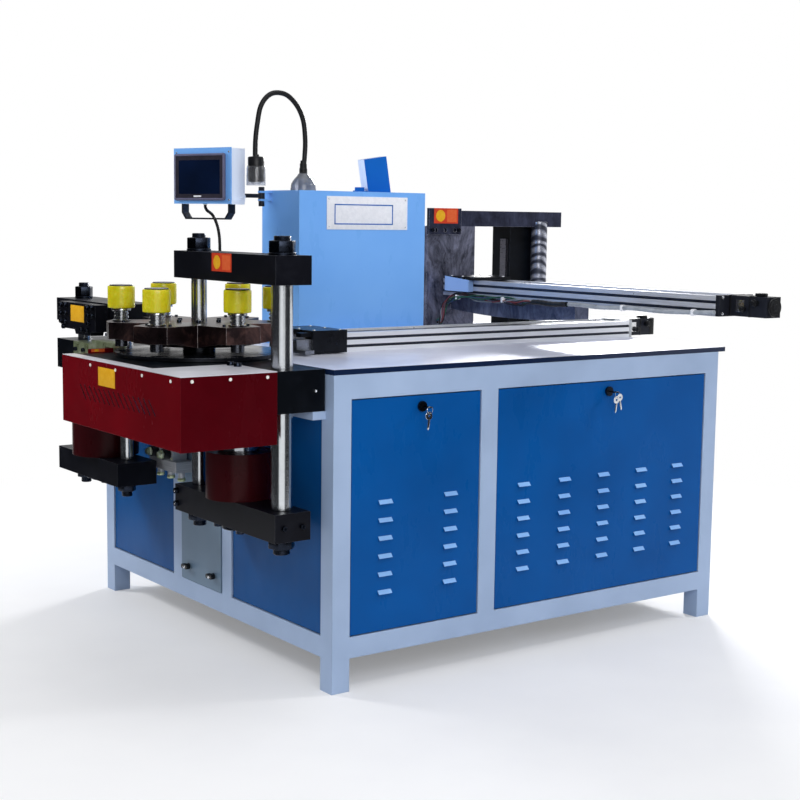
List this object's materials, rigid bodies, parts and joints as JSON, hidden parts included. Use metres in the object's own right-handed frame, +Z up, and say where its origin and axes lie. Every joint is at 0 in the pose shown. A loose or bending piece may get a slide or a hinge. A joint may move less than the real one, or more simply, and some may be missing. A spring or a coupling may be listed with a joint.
{
  "type": "busbar punching machine",
  "caption": "Hydraulic busbar machine: welded table with a turret punching press, a second press, control cabinet, touch panel, measuring rails and a bending station.",
  "frame": {"origin": "centre of the whole bounding box in plan, on the floor", "axes": "+X to the right along the long front with the two doors, +Y to the back, +Z up"},
  "size_m": [2.033, 1.89, 1.5997],
  "materials": {
    "frame_paint": "satin light grey-blue paint",
    "table_steel": "ground steel sheet",
    "deck_steel": "smooth plated sheet",
    "black_steel": "satin black",
    "red_paint": "smooth dark red paint",
    "wheel_steel": "machined and oxidised brown",
    "die_steel": "blackened and polished",
    "bright_steel": "turned bright",
    "rod_chrome": "hard chrome",
    "urethane": "clear yellow polyurethane",
    "plated_green": "yellow-green zinc plate",
    "door_blue": "smooth strong blue paint",
    "lock_metal": "black head and bright key",
    "cover_grey": "satin grey paint",
    "knob_black": "moulded black",
    "cabinet_blue": "smooth light blue paint",
    "lamp_black": "moulded black",
    "arm_black": "satin black",
    "screen_plastic": "grey bezel and dark screen",
    "cable_rubber": "black jacket",
    "rail_aluminium": "clear anodised",
    "motor_black": "fine black paint",
    "carriage_black": "black anodised",
    "wire_jackets": "bundled green and grey wires",
    "bend_steel": "flame-cut and wiped steel",
    "tank_paint": "dark grey paint",
    "motor_grey": "grey paint",
    "valve_metal": "plain"
  },
  "bodies": {
    "machine": {"frame": "frame_paint", "table_top": "table_steel", "bed_a": "black_steel", "bed_b": "black_steel", "shroud": "red_paint", "deck": "deck_steel", "pistons": "rod_chrome", "lower_tools_b": "plated_green", "end_cover": "cover_grey", "panels": "door_blue", "control_cabinet": "cabinet_blue", "lamp": "lamp_black", "hmi_cable": "cable_rubber", "rear_box": "cabinet_blue", "rail_a": "rail_aluminium", "rail_b": "rail_aluminium", "servo_motors": "motor_black", "wires_b": "wire_jackets", "bend_frame": "bend_steel", "bend_die": "black_steel", "hydraulic_tank": "tank_paint", "pump_motor": "motor_grey", "valve_block": "valve_metal"},
    "turret": {"turret_wheel": "wheel_steel", "die_wheel": "die_steel", "punch_guides": "bright_steel", "spring_1": "urethane", "spring_2": "urethane", "spring_3": "urethane", "spring_4": "urethane", "spring_5": "urethane", "spring_6": "urethane"},
    "punch_1": {"punch_1": "die_steel"},
    "punch_2": {"punch_2": "die_steel"},
    "punch_3": {"punch_3": "die_steel"},
    "punch_4": {"punch_4": "die_steel"},
    "punch_5": {"punch_5": "die_steel"},
    "punch_6": {"punch_6": "die_steel"},
    "press_a": {"crosshead_upper_a": "black_steel", "crosshead_lower_a": "black_steel", "pillars_a": "bright_steel", "cylinder_a": "red_paint"},
    "press_b": {"crosshead_upper_b": "black_steel", "crosshead_lower_b": "black_steel", "pillars_b": "bright_steel", "cylinder_b": "red_paint", "tool_holder_b": "black_steel"},
    "door_left": {"door_left": "door_blue"},
    "door_right": {"door_right": "door_blue"},
    "lock_left": {"lock_left": "lock_metal"},
    "lock_right": {"lock_right": "lock_metal"},
    "cover_knob_1": {"cover_knob_1": "knob_black"},
    "cover_knob_2": {"cover_knob_2": "knob_black"},
    "hmi": {"hmi_arm": "arm_black", "hmi_case": "cabinet_blue", "hmi_screen": "screen_plastic"},
    "feed_a": {"carriage_a": "carriage_black"},
    "jaw": {"clamp_jaw": "bright_steel"},
    "feed_b": {"carriage_b": "carriage_black"},
    "ram": {"bend_ram": "bright_steel"}
  },
  "joints": [
    {"name": "turret_turn", "type": "hinge", "parent": "machine", "child": "turret", "pos_m": [-0.6935, 0.123, 0.9], "axis": [0, 0, 1], "continuous": true},
    {"name": "press_a_stroke", "type": "slide", "parent": "machine", "child": "press_a", "axis": [0, 0, -1], "range_m": [0, 0.0426]},
    {"name": "punch_1_stroke", "type": "slide", "parent": "turret", "child": "punch_1", "axis": [0, 0, -1], "range_m": [0, 0.022], "stiffness_N_per_m": 4000, "springref_m": -0.005, "deforming": ["spring_1"]},
    {"name": "punch_2_stroke", "type": "slide", "parent": "turret", "child": "punch_2", "axis": [0, 0, -1], "range_m": [0, 0.022], "stiffness_N_per_m": 4000, "springref_m": -0.005, "deforming": ["spring_2"]},
    {"name": "punch_3_stroke", "type": "slide", "parent": "turret", "child": "punch_3", "axis": [0, 0, -1], "range_m": [0, 0.022], "stiffness_N_per_m": 4000, "springref_m": -0.005, "deforming": ["spring_3"]},
    {"name": "punch_4_stroke", "type": "slide", "parent": "turret", "child": "punch_4", "axis": [0, 0, -1], "range_m": [0, 0.022], "stiffness_N_per_m": 4000, "springref_m": -0.005, "deforming": ["spring_4"]},
    {"name": "punch_5_stroke", "type": "slide", "parent": "turret", "child": "punch_5", "axis": [0, 0, -1], "range_m": [0, 0.022], "stiffness_N_per_m": 4000, "springref_m": -0.005, "deforming": ["spring_5"]},
    {"name": "punch_6_stroke", "type": "slide", "parent": "turret", "child": "punch_6", "axis": [0, 0, -1], "range_m": [0, 0.022], "stiffness_N_per_m": 4000, "springref_m": -0.005, "deforming": ["spring_6"]},
    {"name": "press_b_stroke", "type": "slide", "parent": "machine", "child": "press_b", "axis": [0, 0, -1], "range_m": [0, 0.02]},
    {"name": "door_left_tilt", "type": "hinge", "parent": "machine", "child": "door_left", "pos_m": [-0.3255, -0.397, 0.155], "axis": [1, 0, 0], "range_deg": [0, 90]},
    {"name": "door_right_tilt", "type": "hinge", "parent": "machine", "child": "door_right", "pos_m": [0.3645, -0.397, 0.155], "axis": [1, 0, 0], "range_deg": [0, 90]},
    {"name": "lock_left_turn", "type": "hinge", "parent": "door_left", "child": "lock_left", "pos_m": [-0.3145, -0.405, 0.74], "axis": [0, -1, 0], "range_deg": [0, 90]},
    {"name": "lock_right_turn", "type": "hinge", "parent": "door_right", "child": "lock_right", "pos_m": [0.3695, -0.405, 0.74], "axis": [0, -1, 0], "range_deg": [0, 90]},
    {"name": "cover_knob_1_turn", "type": "hinge", "parent": "machine", "child": "cover_knob_1", "pos_m": [-0.5955, 0.216, 0.19], "axis": [-1, 0, 0], "range_deg": [0, 90]},
    {"name": "cover_knob_2_turn", "type": "hinge", "parent": "machine", "child": "cover_knob_2", "pos_m": [-0.5955, 0.367, 0.19], "axis": [-1, 0, 0], "range_deg": [0, 90]},
    {"name": "panel_swing", "type": "hinge", "parent": "machine", "child": "hmi", "pos_m": [-0.3525, 0.36, 1.29], "axis": [0, 0, 1], "range_deg": [-50, 2]},
    {"name": "feed_a_travel", "type": "slide", "parent": "machine", "child": "feed_a", "axis": [1, 0, 0], "range_m": [0, 1.05]},
    {"name": "jaw_lift", "type": "slide", "parent": "feed_a", "child": "jaw", "axis": [0, 0, 1], "range_m": [0, 0.003]},
    {"name": "feed_b_travel", "type": "slide", "parent": "machine", "child": "feed_b", "axis": [0, -1, 0], "range_m": [0, 0.95]},
    {"name": "ram_travel", "type": "slide", "parent": "machine", "child": "ram", "axis": [1, 0, 0], "range_m": [0, 0.06]}
  ],
  "couplings": [
    {"joint": "punch_1_stroke", "follows": "press_a_stroke", "ratio": 0.51643}
  ]
}
